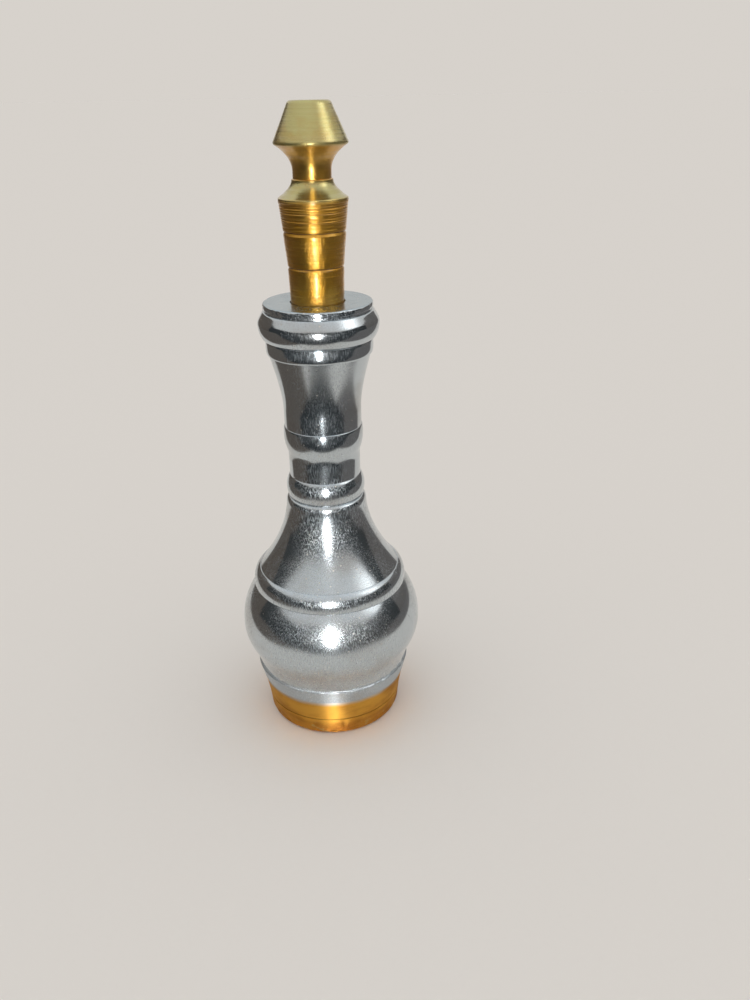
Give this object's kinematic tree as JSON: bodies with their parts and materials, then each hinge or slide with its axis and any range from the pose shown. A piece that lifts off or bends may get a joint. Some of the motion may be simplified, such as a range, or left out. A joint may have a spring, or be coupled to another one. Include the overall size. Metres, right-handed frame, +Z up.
{
  "type": "kohl pot",
  "caption": "Turned metal kohl pot: bulbous plated flask with a ringed neck on a brass foot, closed by a taper stopper that carries the applicator rod.",
  "frame": {"origin": "middle of the flat underside of the foot", "axes": "+Z up along the axis of the turned pot, from the foot to the knob"},
  "size_m": [0.0334, 0.0334, 0.1095],
  "materials": {
    "plate": "bright plated, finely scratched",
    "stopper_brass": "turned, satin to bright",
    "foot_brass": "turned, warm, nicked at the edge"
  },
  "bodies": {
    "pot": {"foot": "foot_brass", "belly": "plate", "neck": "plate"},
    "closure": {"stopper": "stopper_brass", "applicator_rod": "stopper_brass"}
  },
  "joints": [
    {"name": "stopper_lift", "type": "slide", "parent": "pot", "child": "closure", "axis": [0, 0, 1], "range_m": [0, 0.08]}
  ]
}
